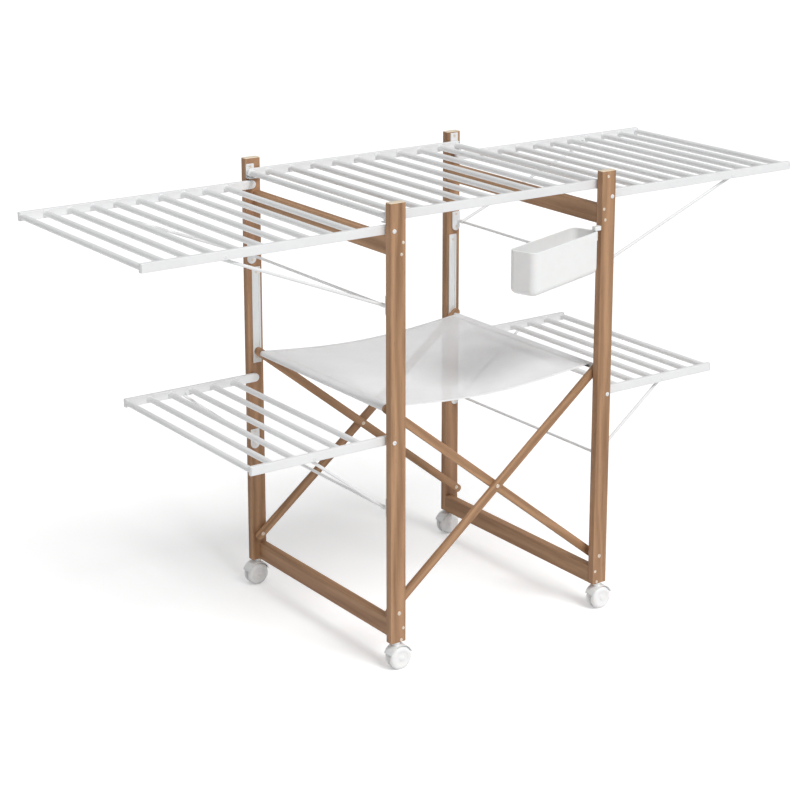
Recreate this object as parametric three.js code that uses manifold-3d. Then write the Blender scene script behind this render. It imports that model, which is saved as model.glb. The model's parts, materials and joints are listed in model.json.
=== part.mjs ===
// A tower clothes airer on castors. Two wooden post frames are joined by two folding X braces. They carry
// two hinged racks on each side with wire struts, a middle rack, a sling shelf and a swing-out peg caddy.
// Millimetres, with +X along the racks, +Y to the back and +Z up.
import * as THREE from "three";
import { mergeVertices } from "three/addons/utils/BufferGeometryUtils.js";
import Module from "manifold-3d";

const wasm = await Module();
wasm.setup();

// ------------------------------------------------------------------ driving dimensions
const LENGTH = 560; // over the posts
const DEPTH = 550; // over the posts
const FRAME_Y = 35.2; // the caddy stands out in front, so the frame stands behind the middle of the footprint
const POST = { wide: 36, deep: 17, foot: 58, top: 958 };
const INSIDE = DEPTH / 2 - POST.deep; // from the middle of the depth to a post's inner face
const MEETS = 0.05; // gap between two fixed parts that meet
const RUNS = 0.3; // gap between parts that move past each other

const CROSS_RAIL = { in: 18, thick: 18, tall: 38, levels: { bottom: 58, top: 848 } };
const BRACE = { in: 20, low: 120.5, high: 535, wide: 18, past: 16, bolt: 3, hole: 3.3 };
const BAR_LAYERS = { a: [3.5, 12.5], b: [13, 22] }; // in from a post's inner face
const SHELF = { rod: 5, rodEnd: 3.4, clothEnd: 23, loop: 5.9, thick: 1.2, sag: 15 };
const TRACK = { from: 10, to: 30, deep: 3, low: 510, high: 722, groove: 11 };
const RAIL = { near: 3.2, far: 12.2, tall: 18 }; // a rack's side rail
const ROD = 6; // radius of a drying rod
const PIVOT_IN = 9; // rack pivots, in from the posts' outer edge
const WINGS = {
  upper: { z: 903, end: 520, first: 53.2, rods: 10, stud: 348, strutZ: 752 },
  lower: { z: 480, end: 304, first: 48, rods: 6, stud: 162, strutZ: 339 },
};
const CENTRE = { z: 928, end: 549, firstRod: 48.4, pitch: 55.9, rods: 9, endRod: 542 };
const STUD = { r: 3, drop: 2.8, end: 20, head: 4.2 };
const STRUT = { in: 5, wire: 3, arm: 3.25, armIn: 15.9, past: 1.5 };
const PLATE = { from: 0.5, to: 21.5, deep: 2.8, half: 22 };
const ANGLE = { thick: 2.2, ledge: 2.4, under: 0.4 };
const CADDY = { swivel: [232, -270], turn: 18.9, top: 835, pin: 2.5 };
const TRAY = { long: 244, deep: 64, tall: 90, wall: 2.5, corner: 7 };
const CASTOR = { wheel: 24.5, trail: 5, hood: 27.3, stem: 7 };

const WOOD = { color: 0xb08c69, roughness: 0.6, metalness: 0 };
const WHITE_COAT = { color: 0xf0f0f0, roughness: 0.45, metalness: 0 };
const WHITE_STEEL = { color: 0xeeeeee, roughness: 0.4, metalness: 0.2 };
const WHITE_PLASTIC = { color: 0xf2f2f0, roughness: 0.35, metalness: 0 };
const ZINC = { color: 0xe6dccb, roughness: 0.35, metalness: 0.9 };
const SLING = { color: 0xe8e8e6, roughness: 0.9, metalness: 0 };

// --------------------------------------------------------------------- shape helpers
function toSolid(geometry) {
  const bare = geometry.clone().deleteAttribute("normal").deleteAttribute("uv");
  const merged = mergeVertices(bare, 1e-4);
  const vertProperties = merged.attributes.position.array;
  const triVerts = Uint32Array.from(merged.index ? merged.index.array : vertProperties.keys());
  return new wasm.Manifold(new wasm.Mesh({ numProp: 3, vertProperties, triVerts }));
}

function toGeometry(solid) {
  const mesh = solid.getMesh();
  const geometry = new THREE.BufferGeometry();
  geometry.setAttribute("position", new THREE.BufferAttribute(new Float32Array(mesh.vertProperties), 3));
  geometry.setIndex(new THREE.BufferAttribute(new Uint32Array(mesh.triVerts), 1));
  const flat = geometry.toNonIndexed();
  flat.computeVertexNormals();
  return flat;
}

const join = (...pieces) => toGeometry(pieces.map(toSolid).reduce((whole, piece) => whole.add(piece)));
const cut = (piece, ...tools) =>
  toGeometry(tools.map(toSolid).reduce((whole, tool) => whole.subtract(tool), toSolid(piece)));

// A block between two values on each axis.
function block([x0, x1], [y0, y1], [z0, z1]) {
  const box = new THREE.BoxGeometry(Math.abs(x1 - x0), Math.abs(y1 - y0), Math.abs(z1 - z0));
  return box.translate((x0 + x1) / 2, (y0 + y1) / 2, (z0 + z1) / 2);
}

// A round bar between two points; the far end may have another radius.
function bar(from, to, radius, facets = 16, farRadius = radius) {
  const a = new THREE.Vector3(...from);
  const b = new THREE.Vector3(...to);
  const along = b.clone().sub(a);
  const upright = new THREE.Vector3(0, 1, 0);
  const turn = new THREE.Quaternion().setFromUnitVectors(upright, along.clone().normalize());
  const middle = a.add(b).multiplyScalar(0.5);
  const cylinder = new THREE.CylinderGeometry(farRadius, radius, along.length(), facets);
  return cylinder.applyQuaternion(turn).translate(middle.x, middle.y, middle.z);
}
const barY = (x, z, radius, y0, y1, facets) => bar([x, y0, z], [x, y1, z], radius, facets);
const barZ = (x, y, radius, z0, z1, facets) => bar([x, y, z0], [x, y, z1], radius, facets);

// A shape drawn in X and Z, carried along Y.
function slab(shape, y0, y1, curveSegments = 12) {
  const depth = Math.abs(y1 - y0);
  const extruded = new THREE.ExtrudeGeometry(shape, { depth, bevelEnabled: false, curveSegments });
  return extruded.rotateX(Math.PI / 2).translate(0, Math.max(y0, y1), 0);
}

function mesh(parent, name, geometry, look, [x, y, z] = [0, 0, 0]) {
  const made = new THREE.Mesh(geometry, new THREE.MeshStandardMaterial(look));
  made.name = name;
  made.position.set(x, y, z);
  parent.add(made);
  return made;
}

function group(parent, position, scale = [1, 1, 1]) {
  const made = new THREE.Group();
  made.position.set(...position);
  made.scale.set(...scale);
  parent.add(made);
  return made;
}

// -------------------------------------------------------------------- the scene graph
// A side's own x runs inwards from the posts' outer edge. An end's own y runs inwards from its posts' inner face.
const airer = new THREE.Group();
airer.name = "tower_airer";
airer.position.set(0, FRAME_Y, 0);

const ends = {
  front: { group: group(airer, [0, -INSIDE, 0]) },
  rear: { group: group(airer, [0, INSIDE, 0], [1, -1, 1]) },
};
const sides = {
  left: { group: group(airer, [-LENGTH / 2, 0, 0]) },
  right: { group: group(airer, [LENGTH / 2, 0, 0], [-1, 1, 1]) },
};
const corners = Object.entries(sides).flatMap(([side, { group: sideGroup }]) => [
  { side, end: "front", place: `${side}_front`, group: group(sideGroup, [0, -INSIDE, 0]) },
  { side, end: "rear", place: `${side}_rear`, group: group(sideGroup, [0, INSIDE, 0], [1, -1, 1]) },
]);

// -------------------------------------------------------------------------- wood frame
function post() {
  const body = block([0, POST.wide], [-POST.deep, 0], [POST.foot, POST.top]);
  const holes = [
    [PIVOT_IN, WINGS.upper.z],
    [PIVOT_IN, WINGS.lower.z],
    [BRACE.in, BRACE.low],
  ];
  return cut(body, ...holes.map(([x, z]) => barY(x, z, BRACE.hole, -POST.deep - 1, 1)));
}

function crossRail() {
  const reach = INSIDE - MEETS;
  return block([0, CROSS_RAIL.thick], [-reach, reach], [0, CROSS_RAIL.tall]);
}

for (const corner of corners) mesh(corner.group, `post_${corner.place}`, post(), WOOD);
for (const [side, { group: sideGroup }] of Object.entries(sides))
  for (const [level, z] of Object.entries(CROSS_RAIL.levels))
    mesh(sideGroup, `${level}_rail_${side}`, crossRail(), WOOD, [CROSS_RAIL.in, 0, z]);

// ---------------------------------------------------------------------------- X braces
const SPAN = LENGTH - 2 * BRACE.in;
const RISE = BRACE.high - BRACE.low;
const BAR_LONG = Math.hypot(SPAN, RISE);
const BAR_TILT = Math.atan2(RISE, SPAN);
const CROSSING_Z = (BRACE.low + BRACE.high) / 2;

// Lies along X about its middle pivot, with the brace bolt at its low end and the shelf rod at its high end.
// Its ends are round, so that they clear the struts' cross wires as the frame folds.
function braceBar([near, far]) {
  const reach = BAR_LONG / 2 + BRACE.past;
  const half = BRACE.wide / 2;
  const shape = new THREE.Shape();
  shape.absarc(reach - half, 0, half, -Math.PI / 2, Math.PI / 2);
  shape.absarc(half - reach, 0, half, Math.PI / 2, 1.5 * Math.PI);
  shape.closePath();
  const hole = (x, radius, segments) => barY(x, 0, radius, near - 1, far + 1, segments);
  return cut(
    slab(shape, near, far, 10),
    hole(-BAR_LONG / 2, BRACE.hole),
    hole(0, BRACE.hole),
    hole(BAR_LONG / 2, SHELF.rod + 0.1, 20),
  );
}

// A bolt along Y with a head at each end, and a spacer round it where one is asked for.
function bolt([head, tail], spacer) {
  const cap = { r: 5.5, thick: 2 };
  const pieces = [
    barY(0, 0, BRACE.bolt, head - 1, tail + 1),
    barY(0, 0, cap.r, head - cap.thick, head),
    barY(0, 0, cap.r, tail, tail + cap.thick),
  ];
  if (spacer) pieces.push(barY(0, 0, cap.r + 0.5, ...spacer));
  return join(...pieces);
}

for (const [end, { group: endGroup }] of Object.entries(ends)) {
  const [a, b] = [BAR_LAYERS.a, BAR_LAYERS.b];
  mesh(endGroup, `brace_a_${end}`, braceBar(a), WOOD, [0, 0, CROSSING_Z]).rotation.y = -BAR_TILT;
  // the other bar is the same piece turned end for end
  const other = braceBar([-b[1], -b[0]]).rotateZ(Math.PI);
  mesh(endGroup, `brace_b_${end}`, other, WOOD, [0, 0, CROSSING_Z]).rotation.y = BAR_TILT;
  mesh(endGroup, `brace_pin_${end}`, bolt([a[0] - 0.1, b[1] + 0.1]), ZINC, [0, 0, CROSSING_Z]);
}

for (const { side, place, group: corner } of corners) {
  const [near, far] = side === "left" ? BAR_LAYERS.a : BAR_LAYERS.b;
  const through = bolt([-POST.deep - 0.1, far + 0.1], [0.1, near - 0.1]);
  mesh(corner, `brace_bolt_${place}`, through, ZINC, [BRACE.in, 0, BRACE.low]);
}

// ------------------------------------------------------------------ sliding sling shelf
// The rod's end runs along the grooved track; the left rod's bar is the inner one, so a spacer fills the gap.
function track() {
  const middle = (TRACK.from + TRACK.to) / 2;
  const groove = [middle - TRACK.groove / 2, middle + TRACK.groove / 2];
  const strip = block([TRACK.from, TRACK.to], [MEETS, TRACK.deep], [TRACK.low, TRACK.high]);
  return cut(strip, block(groove, [1.6, TRACK.deep + 1], [TRACK.low + 6, TRACK.high - 6]));
}
function shelfSpacer() {
  const [from, to] = [SHELF.rodEnd, BAR_LAYERS.b[0] - 0.2];
  return cut(barY(0, 0, 8, from, to, 20), barY(0, 0, SHELF.rod + 0.1, from - 1, to + 1, 20));
}

// A hem loop round each rod and a cloth between them that sags as a parabola.
function sling() {
  const half = SPAN / 2;
  const steps = 16;
  const edge = BRACE.high + SHELF.loop;
  const depthAt = (x) => edge - SHELF.sag * (1 - (x / half) ** 2);
  const line = Array.from({ length: steps + 1 }, (_, i) => -half + (i * 2 * half) / steps);
  const side = (offset) => line.map((x) => new THREE.Vector2(x, depthAt(x) + offset));
  const outline = [...side(-SHELF.thick / 2), ...side(SHELF.thick / 2).reverse()];
  const selvedge = INSIDE - SHELF.clothEnd;
  const rodAt = (x, radius, extra) => barY(x, BRACE.high, radius, -selvedge - extra, selvedge + extra, 24);
  const cloth = slab(new THREE.Shape(outline), -selvedge, selvedge);
  const hems = [-half, half].map((x) => rodAt(x, SHELF.loop + SHELF.thick / 2, 0));
  const bores = [-half, half].map((x) => rodAt(x, SHELF.loop - SHELF.thick / 2, 1));
  return cut(join(cloth, ...hems), ...bores);
}

for (const corner of corners) {
  mesh(corner.group, `guide_track_${corner.place}`, track(), WHITE_PLASTIC);
  if (corner.side === "left")
    mesh(corner.group, `shelf_spacer_${corner.end}`, shelfSpacer(), WHITE_PLASTIC, [BRACE.in, 0, BRACE.high]);
}
for (const [side, { group: sideGroup }] of Object.entries(sides)) {
  const reach = INSIDE - SHELF.rodEnd;
  const rod = barY(0, 0, SHELF.rod, -reach, reach, 20);
  mesh(sideGroup, `shelf_rod_${side}`, rod, WHITE_STEEL, [BRACE.in, 0, BRACE.high]);
}
mesh(airer, "shelf_fabric", sling(), SLING);

// ------------------------------------------------------------------------------- racks
// Drawn about the pivot: round there, and square at its other end.
function railShape(long) {
  const r = RAIL.tall / 2;
  const shape = new THREE.Shape();
  const way = Math.sign(long);
  shape.moveTo(long, -r);
  shape.lineTo(long, r);
  shape.lineTo(0, r);
  shape.absarc(0, 0, r, Math.PI / 2, -Math.PI / 2, way < 0);
  shape.closePath();
  return shape;
}

// A rack about its pivot's axis, with its rods at the given places in from the pivot.
function rack(long, rods, { stud, throughPost }) {
  const pieces = [];
  for (const end of [-1, 1]) {
    const at = (inwards) => end * (INSIDE - inwards);
    const root = at(RAIL.near + 1);
    pieces.push(slab(railShape(long), at(RAIL.near), at(RAIL.far), 10));
    pieces.push(barY(0, 0, 3, root, at(throughPost ? -POST.deep - 1 : 0.4), 12));
    if (throughPost) {
      pieces.push(barY(0, 0, 5, root, at(RUNS), 12)); // washer
      pieces.push(barY(0, 0, 4.5, at(-POST.deep - RUNS), at(-POST.deep - 2.1), 12)); // head
    }
    if (stud) {
      pieces.push(barY(stud, -STUD.drop, STUD.r, root, at(STUD.end), 12));
      pieces.push(barY(stud, -STUD.drop, STUD.head, root, at(RAIL.near - 1.4), 12));
    }
  }
  const reach = INSIDE - RAIL.near - 4;
  for (const x of rods) pieces.push(barY(x, 0, ROD, -reach, reach, 14));
  return join(...pieces);
}

function wing({ end, first, rods, stud }) {
  const last = end - ROD;
  const places = Array.from({ length: rods }, (_, i) => first + ((last - first) * i) / (rods - 1));
  const outwards = (x) => -(x + PIVOT_IN);
  return rack(outwards(end), places.map(outwards), { stud: outwards(stud), throughPost: true });
}

function centreRack() {
  const places = Array.from({ length: CENTRE.rods }, (_, i) => CENTRE.firstRod + CENTRE.pitch * i);
  places.push(PIVOT_IN, CENTRE.endRod);
  return rack(CENTRE.end - PIVOT_IN, places.map((x) => x - PIVOT_IN), { throughPost: false });
}

for (const [side, { group: sideGroup }] of Object.entries(sides))
  for (const [level, size] of Object.entries(WINGS))
    mesh(sideGroup, `rack_${level}_${side}`, wing(size), WHITE_COAT, [PIVOT_IN, 0, size.z]);
mesh(sides.left.group, "rack_centre", centreRack(), WHITE_COAT, [PIVOT_IN, 0, CENTRE.z]);

// ------------------------------------------------------------------------- wire struts
// About the cross wire that turns in the post plates: two arms reach up under the rack's studs.
function strut({ z, stud, strutZ }) {
  const out = stud + STRUT.in;
  const up = z - STUD.drop - strutZ;
  const apart = STUD.r + STRUT.arm + 0.4;
  const far = Math.hypot(out, up);
  const tilt = Math.atan2(up, out) - Math.asin(apart / far);
  const long = Math.sqrt(far ** 2 - apart ** 2) + STRUT.past;
  const reach = INSIDE - RUNS;
  const pieces = [barY(0, 0, STRUT.wire, -reach, reach, 12)];
  for (const end of [-1, 1]) {
    const y = end * (INSIDE - STRUT.armIn);
    const tip = [-long * Math.cos(tilt), y, long * Math.sin(tilt)];
    pieces.push(bar([0, y, 0], tip, STRUT.arm, 12));
    pieces.push(new THREE.SphereGeometry(STRUT.arm, 12, 8).translate(...tip));
  }
  return join(...pieces);
}

function strutPlate() {
  const wide = PLATE.to - PLATE.from;
  const [middle, low] = [(PLATE.from + PLATE.to) / 2, wide / 2 - PLATE.half];
  const shape = new THREE.Shape();
  shape.moveTo(PLATE.to, PLATE.half);
  shape.lineTo(PLATE.from, PLATE.half);
  shape.lineTo(PLATE.from, low);
  shape.absarc(middle, low, wide / 2, Math.PI, 2 * Math.PI, false);
  shape.closePath();
  return cut(slab(shape, MEETS, PLATE.deep), barY(STRUT.in, 0, STRUT.wire + 0.25, -1, PLATE.deep + 1));
}

for (const [level, size] of Object.entries(WINGS)) {
  for (const [side, { group: sideGroup }] of Object.entries(sides))
    mesh(sideGroup, `strut_${level}_${side}`, strut(size), WHITE_STEEL, [STRUT.in, 0, size.strutZ]);
  for (const { place, group: corner } of corners)
    mesh(corner, `strut_plate_${level}_${place}`, strutPlate(), WHITE_STEEL, [0, 0, size.strutZ]);
}

// -------------------------------------------------------------- middle rack's supports
// An angle on a post, about the rack's height: the rack's rails lie just above its ledge.
function rackAngle([from, to], above) {
  const ledge = -RAIL.tall / 2 - ANGLE.under;
  return join(
    block([from, to], [MEETS, ANGLE.thick], [ledge - ANGLE.ledge, above]),
    block([from, to], [MEETS, RAIL.far + 2.8], [ledge - ANGLE.ledge, ledge]),
  );
}
const pivotPlate = () => cut(rackAngle([0.5, 20], 18), barY(PIVOT_IN, 0, 3.4, -1, 3));
const rackHook = () => rackAngle([7.5, 27.5], 27);

for (const { side, end, group: corner } of corners)
  if (side === "left") mesh(corner, `rack_pivot_plate_${end}`, pivotPlate(), WHITE_STEEL, [0, 0, CENTRE.z]);
  else mesh(corner, `rack_hook_${end}`, rackHook(), WHITE_STEEL, [0, 0, CENTRE.z]);

// -------------------------------------------------------------------------- peg caddy
// An upright block with rounded corners, whose first corner is rounded about the origin.
function roundedTray(grow, z0, z1) {
  const r = TRAY.corner + grow;
  const [long, deep] = [TRAY.long - 2 * TRAY.corner, TRAY.deep - 2 * TRAY.corner];
  const shape = new THREE.Shape();
  shape.absarc(0, 0, r, Math.PI, 1.5 * Math.PI);
  shape.absarc(long, 0, r, 1.5 * Math.PI, 2 * Math.PI);
  shape.absarc(long, deep, r, 0, Math.PI / 2);
  shape.absarc(0, deep, r, Math.PI / 2, Math.PI);
  shape.closePath();
  const options = { depth: z1 - z0, bevelEnabled: false, curveSegments: 5 };
  return new THREE.ExtrudeGeometry(shape, options).translate(0, 0, z0);
}
function caddy() {
  const { tall, wall, corner } = TRAY;
  const lip = 3; // the foot is smaller all round than the tray
  const tray = join(roundedTray(-lip, -tall, lip - tall), roundedTray(0, lip - tall, 0));
  const hollow = cut(tray, roundedTray(-wall, lip + wall - tall, 1));
  const boss = barZ(0, 0, corner - 0.5, -20, 0, 20);
  return cut(join(hollow, boss), barZ(0, 0, CADDY.pin + RUNS, -21, 1));
}
function caddyBracket() {
  const toPost = LENGTH / 2 - POST.wide - MEETS - CADDY.swivel[0];
  return join(
    block([-5, toPost], [-5.5, 5.5], [0.8, 10]),
    barZ(0, 0, CADDY.pin, -23, 2),
    barZ(0, 0, 4, -24, -20.4),
  );
}
const caddyStand = group(airer, [...CADDY.swivel, CADDY.top]);
mesh(caddyStand, "caddy_bracket", caddyBracket(), WHITE_PLASTIC);
// the tray's own x runs to its far end, which points to the left and forwards
const caddyTurn = group(caddyStand, [0, 0, 0], [-1, 1, 1]);
caddyTurn.rotation.z = THREE.MathUtils.degToRad(CADDY.turn);
mesh(caddyTurn, "caddy", caddy(), WHITE_PLASTIC);

// ----------------------------------------------------------------------------- castors
// A hood, and a rib between the wheels, about the axle; the stem goes up into the post's foot.
function castorHousing() {
  const { wheel, trail, hood, stem } = CASTOR;
  const [from, to] = [20, 160].map(THREE.MathUtils.degToRad);
  const wedge = (radius) => {
    const shape = new THREE.Shape();
    shape.moveTo(0, 0);
    shape.absarc(0, 0, radius, from, to);
    shape.closePath();
    return shape;
  };
  const head = POST.foot - RUNS;
  const arch = cut(slab(wedge(hood), -13, 13), barY(0, 0, hood - 2, -14, 14, 32));
  const rib = cut(join(slab(wedge(hood), -3.4, 3.4), barY(0, 0, 14, -3.4, 3.4, 24)), barY(0, 0, 3.3, -4, 4));
  return join(
    join(arch, rib).translate(trail, 0, wheel),
    barZ(0, 0, stem, wheel + 25.2, head, 20),
    barZ(0, 0, stem + 1.2, head - 3.2, head, 20),
  );
}
// Two discs with bevelled rims on one axle.
function castorWheels() {
  const { wheel } = CASTOR;
  const bevel = 2.6;
  const pieces = [barY(0, 0, 2.9, -8, 8)];
  for (const s of [-1, 1]) {
    pieces.push(barY(0, 0, wheel, s * 4, s * 12, 28));
    pieces.push(bar([0, s * 12, 0], [0, s * (12 + bevel), 0], wheel, 28, wheel - bevel));
  }
  return join(...pieces);
}
for (const { side, end, place, group: corner } of corners) {
  // the front pair trails to the right and the rear pair to the left
  const castor = group(corner, [POST.wide / 2, -POST.deep / 2, 0]);
  castor.rotation.z = (side === "left") === (end === "front") ? 0 : Math.PI;
  mesh(castor, `castor_${place}`, castorHousing(), WHITE_PLASTIC);
  mesh(castor, `castor_wheels_${place}`, castorWheels(), WHITE_PLASTIC, [CASTOR.trail, 0, CASTOR.wheel]);
}

export default airer;
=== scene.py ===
"""A wooden tower clothes airer on castors, with X braces, white racks on wire struts, a sling and a caddy."""

import json
import math

import bpy
import numpy as np
from bpy.props import FloatProperty, FloatVectorProperty, PointerProperty
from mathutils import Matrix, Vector


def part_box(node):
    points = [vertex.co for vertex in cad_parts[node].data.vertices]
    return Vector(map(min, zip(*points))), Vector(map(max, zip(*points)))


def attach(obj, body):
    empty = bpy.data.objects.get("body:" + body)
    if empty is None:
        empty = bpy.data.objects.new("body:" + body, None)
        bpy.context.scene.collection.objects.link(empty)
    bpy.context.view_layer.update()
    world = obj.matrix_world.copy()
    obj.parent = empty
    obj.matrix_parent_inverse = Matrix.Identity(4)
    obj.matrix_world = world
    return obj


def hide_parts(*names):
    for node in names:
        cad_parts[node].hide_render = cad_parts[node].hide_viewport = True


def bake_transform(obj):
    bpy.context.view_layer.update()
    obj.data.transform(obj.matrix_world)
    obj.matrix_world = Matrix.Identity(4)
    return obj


bl_info = {
    "name": "Tower clothes airer",
    "version": (1, 0, 0),
    "blender": (4, 5, 0),
    "location": "3D View > Sidebar > Airer",
    "description": "Builds the surfaces and finishes of a folding tower clothes airer round its frame",
    "category": "Add Mesh",
}

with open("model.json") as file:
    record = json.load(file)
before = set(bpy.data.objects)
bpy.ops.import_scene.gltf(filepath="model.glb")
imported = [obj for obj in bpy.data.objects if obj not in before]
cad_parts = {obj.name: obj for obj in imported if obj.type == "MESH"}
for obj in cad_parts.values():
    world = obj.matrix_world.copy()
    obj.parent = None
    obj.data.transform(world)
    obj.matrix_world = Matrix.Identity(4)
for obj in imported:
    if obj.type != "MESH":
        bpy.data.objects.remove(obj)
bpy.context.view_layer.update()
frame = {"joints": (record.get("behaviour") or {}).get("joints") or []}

MM = 0.001
PIVOT = {joint["name"]: np.array(joint["pos_m"]) for joint in frame["joints"]}
SIDES = {"left": -1, "right": 1}
ENDS = {"front": -1, "rear": 1}
PLACES = [(side, end, f"{side}_{end}") for side in SIDES for end in ENDS]
X, Y, Z = np.eye(3)


def box(node):
    """A node's lowest and highest corners as arrays."""
    low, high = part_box(node)
    return np.array(low), np.array(high)


# The posts' inner faces and their outer edges.
INNER_Y = {"front": box("post_left_front")[1][1], "rear": box("post_left_rear")[0][1]}
OUTER_X = {"left": box("post_left_front")[0][0], "right": box("post_right_front")[1][0]}


def post_x(side, inwards):
    """X of a place that many metres in from the outer edge of that side's posts."""
    return OUTER_X[side] - SIDES[side] * inwards


def post_y(end, inwards):
    """Y of a place that many metres in from the inner face of that end's posts."""
    return INNER_Y[end] - ENDS[end] * inwards


# ------------------------------------------------------------------ shapes as arrays
HOLD = 0.8 * MM  # from a rounded edge to the extra line of points that keeps the flat beside it flat
CREASE = math.radians(50)  # edges sharper than this are shaded as creases


class Shape:
    """Points, faces and, on a carried outline, each point's place along its own section and length."""

    def __init__(self, points, faces, grain=None):
        self.points, self.faces, self.grain = points, faces, grain

    @staticmethod
    def joined(shapes):
        starts = np.cumsum([0] + [len(shape.points) for shape in shapes])
        faces = [[i + start for i in face]
                 for shape, start in zip(shapes, starts) for face in shape.faces]
        return Shape(np.concatenate([shape.points for shape in shapes]), faces)

    def outwards(self):
        """Turns the faces round if the signed volume, summed over fans of triangles, is negative."""
        volume = 0.0
        for size in {len(face) for face in self.faces}:
            corners = self.points[np.array([face for face in self.faces if len(face) == size])]
            fan = np.cross(corners[:, 1:-1], corners[:, 2:])
            volume += np.einsum("ij,ikj->", corners[:, 0], fan)
        if volume < 0:
            self.faces = [face[::-1] for face in self.faces]
        return self


def grid_faces(rows, columns, around=True):
    """Quads of a grid stored row by row; the columns close on themselves when around is set."""
    row, column = np.meshgrid(np.arange(rows - 1), np.arange(columns - (not around)), indexing="ij")
    beside = (column + 1) % columns
    this, after = row * columns, (row + 1) * columns
    corners = [this + column, this + beside, after + beside, after + column]
    return np.stack(corners, -1).reshape(-1, 4).tolist()


# An outline is (centres, normals, radii). Inset by d, its points are centre + (radius - d) * normal.
def circle(radius, sides=24):
    """One turn about the origin."""
    angle = np.linspace(0, 2 * np.pi, sides, endpoint=False)
    normal = np.stack([np.cos(angle), np.sin(angle)], -1)
    return normal * 0, normal, np.full(sides, radius)


def cornered(corners, hold=HOLD, steps=4):
    """Arcs about given centres, each (centre x, centre y, radius, first angle, last angle in quarter turns).
    A point is added just before and after every arc, so that the flats between them shade flat."""
    centres, normals, radii = [], [], []
    for x, y, radius, first, last in corners:
        count = steps * max(1, round(last - first))
        angle = np.linspace(first, last, count + 1) * np.pi / 2
        normal = np.stack([np.cos(angle), np.sin(angle)], -1)
        along = np.stack([-normal[:, 1], normal[:, 0]], -1)
        centre = np.tile([x, y], (count + 1, 1)).astype(float)
        centres += [centre[:1] - hold * along[:1], centre, centre[-1:] + hold * along[-1:]]
        normals += [normal[:1], normal, normal[-1:]]
        radii.append(np.full(count + 3, radius))
    return np.concatenate(centres), np.concatenate(normals), np.concatenate(radii)


def rounded_rect(width, height, radius, steps=4):
    """Four quarter circles, anticlockwise from the first quarter."""
    x, y = width / 2 - radius, height / 2 - radius
    corners = [(x, y, radius, 0, 1), (-x, y, radius, 1, 2), (-x, -y, radius, 2, 3), (x, -y, radius, 3, 4)]
    return cornered(corners, steps=steps)


def round_ended(length, height, radius):
    """A half circle about the origin, and a square end with rounded corners at x = length."""
    x, y = length - radius, height / 2 - radius
    return cornered([(x, y, radius, 0, 1), (0, 0, height / 2, 1, 3), (x, -y, radius, 3, 4)], steps=6)


def carried(outline, rings, origin, across, up, along):
    """Point = origin + t * along + (centre + (radius - inset) * normal) on the across and up axes,
    for each ring (t, inset)."""
    centre, normal, radius = outline
    t, inset = np.array(rings).T
    flat = centre + (radius - inset[:, None])[..., None] * normal
    points = origin + t[:, None, None] * along + flat[..., :1] * across + flat[..., 1:] * up
    rows, columns = points.shape[:2]
    ends = [list(range(columns)), list(range((rows - 1) * columns, rows * columns))]
    faces = grid_faces(rows, columns) + [ends[0][::-1], ends[1]]
    grain = np.concatenate([flat, np.broadcast_to(t[:, None, None], (rows, columns, 1))], -1)
    return Shape(points.reshape(-1, 3), faces, grain.reshape(-1, 3)).outwards()


def softened(length, soft, steps=4, hold=HOLD):
    """Rings (t, inset) along a bar with rounded ends: t = soft * (1 - cos a), inset = soft * (1 - sin a)."""
    angle = np.linspace(0, np.pi / 2, steps + 1)
    t, inset = soft * (1 - np.cos(angle)), soft * (1 - np.sin(angle))
    first = [(0.0, soft + min(hold, soft * 0.5))] + list(zip(t, inset)) + [(soft + hold, 0.0)]
    return first + [(length - along, inwards) for along, inwards in first[::-1]]


def square_to(axis):
    """A unit vector at right angles to an axis."""
    across = np.cross(axis, X if abs(axis[0]) < 0.5 else Z)
    return across / np.linalg.norm(across)


def lathe(profile, origin, axis, sides=32):
    """Turns (distance along the axis, radius) points about the axis, closed at both ends by a flat."""
    axis = np.array(axis, float)
    across = square_to(axis)
    largest = max(radius for _, radius in profile)
    rings = [(t, largest - radius) for t, radius in profile]
    return carried(circle(largest, sides), rings, np.array(origin), across, np.cross(axis, across), axis)


def round_bar(start, end, radius, sides=24, soft=None):
    """A round bar between two points with softened ends."""
    start, end = np.array(start, float), np.array(end, float)
    length = np.linalg.norm(end - start)
    soft = radius * 0.25 if soft is None else soft
    profile = [(t, radius - inset) for t, inset in softened(length, soft, hold=0.3 * MM)]
    return lathe(profile, start, (end - start) / length, sides)


def cross_bar(x, z, near, far, radius, sides=24, soft=None):
    """A round bar along Y, from near to far."""
    return round_bar((x, near, z), (x, far, z), radius, sides, soft)


def dome_head(centre, axis, radius, height, turn, slots=2):
    """A domed screw head. Its height is h * (1 - 0.94 (r/R)^2)^0.6, less a recess along each slot.
    A slot is 1 mm wide with sloping sides, and ends at 0.72 of the radius."""
    rings, sides = 9, 32
    share = np.linspace(1, 0.06, rings)
    angle = np.linspace(0, 2 * np.pi, sides, endpoint=False)
    reach = share[:, None] * radius
    level = height * (1 - share[:, None] ** 2 * 0.94) ** 0.6 + angle * 0
    for slot in range(slots):
        off = np.abs(reach * np.sin(angle - turn - slot * np.pi / 2))
        band = np.clip((0.5 * MM - off) / (0.2 * MM), 0, 1)
        band = band * np.clip((radius * 0.72 - reach) / (0.4 * MM), 0, 1)
        level = np.minimum(level, height * (1 - 0.62 * band) - (1 - band) * (height - level))
    across = square_to(axis)
    up = np.cross(axis, across)
    flat = reach[..., None] * (np.cos(angle)[:, None] * across + np.sin(angle)[:, None] * up)
    foot = np.array(centre) + flat[:1] - 0.4 * MM * axis
    points = np.concatenate([foot, np.array(centre) + flat + level[..., None] * axis])
    faces = grid_faces(rings + 1, sides)
    faces += [list(range(sides))[::-1], list(range(rings * sides, (rings + 1) * sides))]
    return Shape(points.reshape(-1, 3), faces).outwards()


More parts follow.
